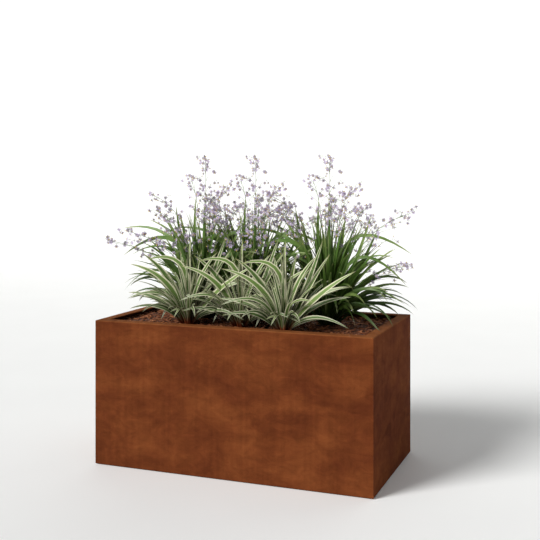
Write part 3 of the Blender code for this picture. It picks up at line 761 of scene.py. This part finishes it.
SETTINGS = {
    "planter_steel": SteelSettings,
    "planter_green": GreenSettings,
    "planter_striped": StripedSettings,
    "planter_bark": BarkSettings,
    "planter_stage": StageSettings,
}


# ---- operators -----------------------------------------------------------------------------------
class PLANTER_OT_steel_panels(bpy.types.Operator):
    """Rusts the four panels"""
    bl_idname = "planter.steel_panels"
    bl_label = "Steel Panels"

    def execute(self, context):
        finish_nodes(PANELS, weathering_steel(context.scene.planter_steel))
        return {"FINISHED"}


class PLANTER_OT_hardware(bpy.types.Operator):
    """Finishes the tray, channels, feet, nuts and strainers"""
    bl_idname = "planter.hardware"
    bl_label = "Tray, Feet and Fasteners"

    def execute(self, context):
        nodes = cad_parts
        zinc = ["floor_tray", "tie_bar"] + [n for n in nodes if n.startswith(("base_channel", "foot_bush"))]
        bright = [n for n in nodes if "_nut_" in n or n.startswith("foot_stem")]
        moulded = [n for n in nodes if n.startswith(("foot_pad", "drain_strainer"))]
        finish_nodes(zinc, galvanised_steel())
        finish_nodes(bright, stainless_steel())
        finish_nodes(moulded, black_plastic("polypropylene_moulded", 900.0))
        return {"FINISHED"}


class PLANTER_OT_filling(bpy.types.Operator):
    """Finishes the liner, the clay, the fleece and the soil"""
    bl_idname = "planter.filling"
    bl_label = "Liner and Filling"

    def execute(self, context):
        finish_nodes(["root_barrier_liner"], black_plastic("polypropylene_sheet", 300.0))
        finish_nodes(["drainage_clay"], grainy("clay_balls_fired", 12 * MM, ("6e3b26", "8f5136", "a9684a"),
                                               5 * MM))
        finish_nodes(["filter_fleece"], grainy("fleece_needled", 1.5 * MM, ("8d8d8a", "a5a5a2", "bcbcb8"),
                                               0.5 * MM))
        finish_nodes(["soil"], grainy("potting_soil_damp", 5 * MM, ("1f140d", "33221a", "4a3427"), 3 * MM))
        return {"FINISHED"}


class PLANTER_OT_bark(bpy.types.Operator):
    """Lays the bark: a heaped bed and loose slivers on it"""
    bl_idname = "planter.bark"
    bl_label = "Bark"

    def execute(self, context):
        settings = context.scene.planter_bark
        material = bark_chip(settings)
        bed = model_bark_bed()
        bed.data.materials.append(grainy("pine_bark_fine", 6 * MM, ("3a2014", "5c331e", "7a452a"), 4 * MM))
        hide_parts("bark_mulch")
        for piece in [bed] + scatter_slivers(settings, material):
            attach(piece, "root")
        return {"FINISHED"}


class PLANTER_OT_stage(bpy.types.Operator):
    """Sets up the floor, the lights and the camera"""
    bl_idname = "planter.stage"
    bl_label = "Studio"

    def execute(self, context):
        settings = context.scene.planter_stage
        self.backdrop(settings)
        self.lights(context, settings)
        self.camera(context)
        return {"FINISHED"}

    def backdrop(self, settings):
        """A floor that curves up into a wall far behind the planter."""
        width, wall_at, wall_height, curve = 24.0, 8.0, 9.0, 3.0
        deselect_all()
        bpy.ops.mesh.primitive_plane_add(size=width, location=(0, wall_at - width / 2, 0))
        floor = settle(bpy.context.object, "studio_floor")
        enter_edit(floor)
        pick("edges", lambda edge: min(v.co.y for v in edge.verts) > wall_at - 0.1)
        bpy.ops.mesh.extrude_region_move(TRANSFORM_OT_translate={"value": (0, 0, wall_height)})
        pick("edges", lambda edge: min(v.co.y for v in edge.verts) > wall_at - 0.1
             and max(v.co.z for v in edge.verts) < 0.1)
        bpy.ops.mesh.bevel(offset=curve, segments=16)
        leave_edit()
        smooth(floor)
        paint, tree, shader, place = start_material("studio_paint_matt", Roughness=0.9)
        mottle = add_node(tree, "TexNoise", {"Vector": place["Object"], "Scale": 2.0})
        pale = Vector(settings.floor[:])
        colour = add_node(tree, "ValToRGB", {"Fac": mottle.outputs["Fac"]},
                          ramp=((0.3, (pale * 0.985)[:]), (0.7, pale[:])))
        set_inputs(tree, shader, {"Base Color": colour})
        floor.data.materials.append(paint)

    def lights(self, context, settings):
        """One broad key light from the upper front left, and pale light from all round."""
        key = bpy.data.lights.new("key_light", "SUN")
        key.energy = settings.key_strength
        key.angle = math.radians(24)
        lamp = bpy.data.objects.new("key_light", key)
        lamp.rotation_euler = Vector((0.55, 0.72, -0.62)).to_track_quat("-Z", "Y").to_euler()
        context.scene.collection.objects.link(lamp)
        world = bpy.data.worlds.new("studio_world")
        world.use_nodes = True
        background = world.node_tree.nodes["Background"]
        background.inputs["Color"].default_value = (*linear("f6f8fb"), 1.0)
        background.inputs["Strength"].default_value = settings.sky_strength
        context.scene.world = world
        context.scene.view_settings.view_transform = "Standard"

    def camera(self, context):
        """Right of the front, level and above the flowers' feet, with the lens shifted down."""
        view = bpy.data.cameras.new("camera")
        view.lens = 58.43
        view.shift_x = -0.0676
        view.shift_y = -0.1705
        camera = bpy.data.objects.new("camera", view)
        camera.location = (1.2246, -2.8666, 0.9943)
        camera.rotation_euler = (math.radians(90), 0, math.radians(19.848))
        context.scene.collection.objects.link(camera)
        context.scene.camera = camera


# ---- leaves of the two kinds of lily --------------------------------------------------------------
LEAF_FOOT = 8 * MM  # a leaf's foot under the bark
CHOSEN_OUT = 14 * MM  # a chosen leaf's foot from the middle of its plant


def blade_path(start, turn, tilt_from, tilt_to, length, bend):
    """Points up a blade that leaves its foot tilt_from off upright and ends tilt_to off it."""
    up = np.linspace(0.0, 1.0, LEAF_RINGS + 1)
    tilt = tilt_from + (tilt_to - tilt_from) * up ** bend
    steps = np.stack((np.sin(tilt) * math.cos(turn), np.sin(tilt) * math.sin(turn), np.cos(tilt)), axis=1)
    steps *= length / LEAF_RINGS
    steps[0] = start
    return np.cumsum(steps, axis=0)


def facing_front(heading):
    """The twist that turns a leaf's upper face towards the planter's front, for the way that it leans."""
    level = np.linalg.norm(heading[:2]) or 1.0
    return math.radians(62) * heading[0] / level


def leaf_fan(shape, count, chance, base, front, blade, shown, shown_width):
    """The leaves of one plant: the chosen ones, and others from upright inner to far-leaning outer ones.

    lean runs from 0 for the innermost to 1 for the outermost leaf.
    """
    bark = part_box("bark_mulch")[1].z
    foot_height = bark - LEAF_FOOT
    foot = np.array((*base, bark))
    copies, tones = [], []
    for middle, tip in shown:
        heading = np.array(tip)
        out = heading[:2] / np.linalg.norm(heading[:2]) * CHOSEN_OUT
        path = through((base[0] + out[0], base[1] + out[1], foot_height), foot + middle, foot + tip)
        twist = facing_front(heading)
        width = shown_width * chance.uniform(0.85, 1.1) * min(1.0, 0.45 + 2.5 * tip[2])
        copies.append(along(shape, path, width / 2, twist, twist + chance.gauss(0, 0.25)))
        tones.append(chance.uniform(0.45, 0.95))
    for number in range(count):
        lean = ((number + 0.5) / count) ** 1.1
        turn = number * GOLDEN_ANGLE + chance.gauss(0, 0.5)
        out = (5 + 20 * lean) * MM
        start = (base[0] + out * math.cos(turn), base[1] + out * math.sin(turn), foot_height)
        tilt_from, tilt_to, length, width = blade(chance, lean)
        path = blade_path(start, turn, tilt_from, tilt_to, length, chance.uniform(1.1, 2.0))
        twist = facing_front((math.cos(turn), math.sin(turn))) + chance.gauss(0, math.radians(28))
        path = over_rim(within(path, front))
        copies.append(along(shape, path, width / 2, twist, twist + chance.gauss(0, 0.5)))
        tones.append(min(1.0, max(0.0, chance.gauss(0.40, 0.22))))
    return copies, tones


def green_blade(settings):
    """Long leaves, the outer ones arching over and shorter: tilts at foot and tip, length and width."""
    def sizes(chance, lean):
        tilt_from = math.radians(max(0.0, 2 + 34 * lean + chance.gauss(0, 8)))
        tilt_to = tilt_from + math.radians(10 + 84 * lean + chance.gauss(0, 24))
        length = chance.uniform(0.32, 0.44) * (1.02 - 0.22 * lean)
        return tilt_from, tilt_to, length, settings.width * chance.uniform(0.55, 1.10)
    return sizes


def striped_blade(settings):
    """Shorter leaves in an open fan: tilts at foot and tip, length and width."""
    def sizes(chance, lean):
        tilt_from = math.radians(max(0.0, 3 + 20 * lean + chance.gauss(0, 8)))
        tilt_to = tilt_from + math.radians(12 + 80 * lean + chance.gauss(0, 20))
        length = chance.uniform(0.13, 0.28)
        return tilt_from, tilt_to, length, settings.width * chance.uniform(0.30, 0.75)
    return sizes


# chosen leaves: a point half way along and the tip, each right, back and up of the plant's foot
GREEN_SHOWN = (
    ((-0.040, 0.000, 0.320), (-0.035, 0.000, 0.440)), ((-0.120, 0.000, 0.300), (-0.190, 0.000, 0.385)),
    ((-0.150, -0.035, 0.290), (-0.300, -0.070, 0.220)), ((-0.172, 0.000, 0.305), (-0.360, 0.020, 0.315)),
    ((-0.215, -0.020, 0.163), (-0.318, -0.030, 0.087)), ((-0.120, 0.030, 0.320), (-0.140, 0.040, 0.410)),
    ((-0.100, 0.030, 0.310), (-0.123, 0.040, 0.380)), ((-0.173, 0.030, 0.319), (-0.256, 0.040, 0.350)),
    ((-0.187, 0.000, 0.254), (-0.310, 0.000, 0.215)), ((0.110, 0.000, 0.250), (0.158, 0.000, 0.387)),
    ((0.130, 0.020, 0.240), (0.179, 0.020, 0.344)), ((0.120, 0.000, 0.310), (0.301, 0.000, 0.247)),
    ((0.150, -0.050, 0.242), (0.291, -0.050, 0.149)), ((0.167, -0.080, 0.139), (0.291, -0.080, 0.092)),
    ((0.133, -0.030, 0.070), (0.233, -0.030, 0.035)), ((0.050, 0.010, 0.300), (0.062, 0.010, 0.395)),
)
STRIPED_SHOWN = (
    ((0.000, 0.000, 0.184), (0.008, 0.000, 0.298)), ((0.025, 0.020, 0.193), (0.033, 0.040, 0.254)),
    ((-0.050, -0.040, 0.230), (-0.137, -0.050, 0.221)), ((-0.078, -0.010, 0.156), (-0.165, -0.030, 0.240)),
    ((-0.070, -0.040, 0.144), (-0.200, -0.060, 0.205)), ((0.080, 0.030, 0.170), (0.125, 0.040, 0.300)),
    ((0.065, -0.020, 0.176), (0.127, -0.030, 0.254)), ((0.105, 0.000, 0.170), (0.164, 0.000, 0.260)),
    ((0.136, -0.030, 0.126), (0.260, -0.030, 0.210)), ((-0.070, -0.080, 0.110), (-0.180, -0.110, 0.090)),
    ((0.004, -0.070, 0.060), (-0.007, -0.095, 0.030)), ((0.065, -0.050, 0.108), (0.133, -0.080, 0.111)),
    ((0.117, -0.050, 0.052), (0.206, -0.080, 0.057)), ((0.133, -0.060, 0.060), (0.255, -0.090, 0.035)),
    ((0.112, 0.000, 0.085), (0.236, 0.000, 0.122)), ((0.120, 0.000, 0.120), (0.238, 0.000, 0.155)),
    ((-0.020, 0.020, 0.120), (-0.049, 0.030, 0.250)), ((-0.100, -0.020, 0.075), (-0.225, -0.030, 0.100)),
    ((-0.085, -0.060, 0.060), (-0.190, -0.080, 0.050)), ((-0.055, -0.030, 0.060), (-0.080, -0.050, 0.014)),
    ((-0.012, -0.050, 0.055), (-0.035, -0.070, 0.045)),
)


# where the tips of a green plant's flower stalks are: right, back and up of its foot on the bark
FLOWER_TIPS = (
    (0.005, 0.00, 0.560), (-0.065, 0.03, 0.490), (0.085, -0.02, 0.465), (0.120, 0.05, 0.400),
    (-0.205, 0.02, 0.435), (-0.170, -0.04, 0.385), (-0.330, -0.10, 0.275), (-0.255, -0.09, 0.310),
    (0.285, -0.02, 0.385), (0.265, 0.04, 0.205), (0.070, -0.05, 0.375), (0.030, -0.05, 0.430),
    (-0.060, 0.18, 0.400), (0.110, 0.17, 0.350),
)


# twigs on the upper half of a flower stalk, and the rings of a twig where a flower may sit
TWIGS = 11
FLOWER_RINGS = (3, 5, 7, 9, 11, 12)
FLOWER_CHANCE = 0.50


def flower_spray(chance, foot, tip):
    """Paths of one branched flower stalk, and the place and heading of each flower on it."""
    foot, tip = np.array(foot), np.array(tip)
    # the stalk rises steeply and leans out near its tip
    over = foot + (tip - foot) * (0.25, 0.25, 0.85)
    main = arch(foot, over, tip, STEM_RINGS)
    ahead = (main[-1] - main[-3]) / np.linalg.norm(main[-1] - main[-3])
    paths = [(main, 1.5 * MM)]
    flowers = []
    for number in range(TWIGS):
        # from just over half way up the stalk to just under its tip, the upper twigs shorter
        share = 0.52 + 0.46 * number / (TWIGS - 1)
        at = (1 - share) ** 2 * foot + 2 * share * (1 - share) * over + share ** 2 * tip
        turn = number * GOLDEN_ANGLE + chance.gauss(0, 0.4)
        length = (100 - 55 * number / TWIGS) * MM * chance.uniform(0.7, 1.2)
        outward = np.array((math.cos(turn), math.sin(turn), 0.0))
        end = at + outward * length * 0.75 + ahead * length * 0.5 + np.array((0, 0, 10 * MM))
        bow = at + outward * length * 0.25 + ahead * length * 0.55
        twig = arch(at, bow, end, STEM_RINGS)
        paths.append((twig, 0.6 * MM))
        for ring in FLOWER_RINGS:
            if chance.random() < FLOWER_CHANCE:
                heading = Vector((chance.gauss(0, 1), chance.gauss(0, 1), chance.gauss(-0.5, 0.6)))
                flowers.append((twig[ring], heading.normalized()))
    flowers.append((main[-1], Vector((0.3, -0.4, 0.8)).normalized()))
    return paths, flowers


def green_lily(name, node, shapes, settings):
    """One green flax lily: leaves, branched flower stalks and flowers."""
    chance = random.Random(21)
    base, _, _ = roots_of(node)
    copies, tones = leaf_fan(shapes["leaf"], settings.leaves, chance, base, base[1] - 170 * MM,
                             green_blade(settings), GREEN_SHOWN, settings.width * 1.15)
    leaves = join_copies(name + "_leaves", shapes["leaf"], copies, tones)
    stems, flowers, stem_tones, flower_tones = [], [], [], []
    foot_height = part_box("bark_mulch")[1].z
    for right, back, up in FLOWER_TIPS:
        foot = (base[0] + chance.uniform(-12, 12) * MM, base[1] + chance.uniform(-12, 12) * MM, foot_height)
        tip = (base[0] + right, base[1] + back, foot_height + up)
        paths, blooms = flower_spray(chance, foot, tip)
        for path, radius in paths:
            stems.append(along(shapes["stem"], path, radius))
            stem_tones.append(chance.random())
        for place, heading in blooms:
            size = chance.uniform(13, 18) * MM
            turn = np.array(heading.to_track_quat("Z", "Y").to_matrix())
            flowers.append(shapes["flower"]["points"] * size @ turn.T + place)
            flower_tones.append(chance.random())
    stalks = join_copies(name + "_stalks", shapes["stem"], stems, stem_tones)
    blooms = join_copies(name + "_flowers", shapes["flower"], flowers, flower_tones)
    smooth(leaves)
    smooth(stalks)
    for piece in (leaves, stalks, blooms):
        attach(piece, "root")
    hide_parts(node)


class PLANTER_OT_green_lilies(bpy.types.Operator):
    """Plants the three green flax lilies with their flowers"""
    bl_idname = "planter.green_lilies"
    bl_label = "Green Flax Lilies"

    def execute(self, context):
        settings = context.scene.planter_green
        stalk = plant_part("stalk_green_smooth", settings.stalk, settings.blade, 0.5, 30 * MM)
        petal = plant_part("petal_lilac_waxy", settings.petal, settings.petal_light, 0.55, 8 * MM)
        anther = plant_part("anthers_yellow_powdery", linear("c2a446"), linear("e6d27c"), 0.7, 3 * MM)
        shapes = {"leaf": model_strap_leaf(green_leaf(settings)), "stem": model_stem(stalk),
                  "flower": model_flower(petal, anther, stalk)}
        earth = grainy("root_ball_fibrous", 3 * MM, ("2a1c13", "4b3828", "8a7a60"), 2 * MM)
        for side in SIDES:
            node = "flax_lily_green_" + side
            green_lily("lily_green_" + side, node, shapes, settings)
            root_ball("lily_green_" + side + "_roots", node, earth)
        return {"FINISHED"}


class PLANTER_OT_striped_lilies(bpy.types.Operator):
    """Plants the three variegated flax lilies"""
    bl_idname = "planter.striped_lilies"
    bl_label = "Striped Flax Lilies"

    def execute(self, context):
        settings = context.scene.planter_striped
        shape = model_strap_leaf(striped_leaf(settings))
        earth = grainy("root_ball_fibrous_front", 3 * MM, ("2a1c13", "4b3828", "8a7a60"), 2 * MM)
        for side in SIDES:
            node = "flax_lily_striped_" + side
            chance = random.Random(5)
            base, _, _ = roots_of(node)
            copies, tones = leaf_fan(shape, settings.leaves, chance, base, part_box("bark_mulch")[0].y,
                                     striped_blade(settings), STRIPED_SHOWN, settings.width * 1.05)
            leaves = join_copies("lily_striped_" + side + "_leaves", shape, copies, tones)
            smooth(leaves)
            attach(leaves, "root")
            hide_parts(node)
            root_ball("lily_striped_" + side + "_roots", node, earth)
        return {"FINISHED"}


class PLANTER_PT_parts(bpy.types.Panel):
    """Lists the planter's pieces"""
    bl_idname = "PLANTER_PT_parts"
    bl_label = "Planter"
    bl_space_type = "VIEW_3D"
    bl_region_type = "UI"
    bl_category = "Planter"

    def draw(self, context):
        for operator in OPERATORS:
            self.layout.operator(operator.bl_idname)
        for name, group in SETTINGS.items():
            box = self.layout.box()
            for field in group.__annotations__:
                box.prop(getattr(context.scene, name), field)


OPERATORS = (PLANTER_OT_steel_panels, PLANTER_OT_hardware, PLANTER_OT_filling, PLANTER_OT_bark,
             PLANTER_OT_green_lilies, PLANTER_OT_striped_lilies, PLANTER_OT_stage)
CLASSES = (*SETTINGS.values(), *OPERATORS, PLANTER_PT_parts)


def register():
    for each in CLASSES:
        bpy.utils.register_class(each)
    for name, group in SETTINGS.items():
        setattr(bpy.types.Scene, name, PointerProperty(type=group))


def unregister():
    for name in SETTINGS:
        delattr(bpy.types.Scene, name)
    for each in reversed(CLASSES):
        bpy.utils.unregister_class(each)


def main():
    register()
    bpy.ops.planter.steel_panels()
    bpy.ops.planter.hardware()
    bpy.ops.planter.filling()
    bpy.ops.planter.bark()
    bpy.ops.planter.green_lilies()
    bpy.ops.planter.striped_lilies()
    bpy.ops.planter.stage()
    bpy.context.view_layer.update()


if __name__ == "__main__":
    main()
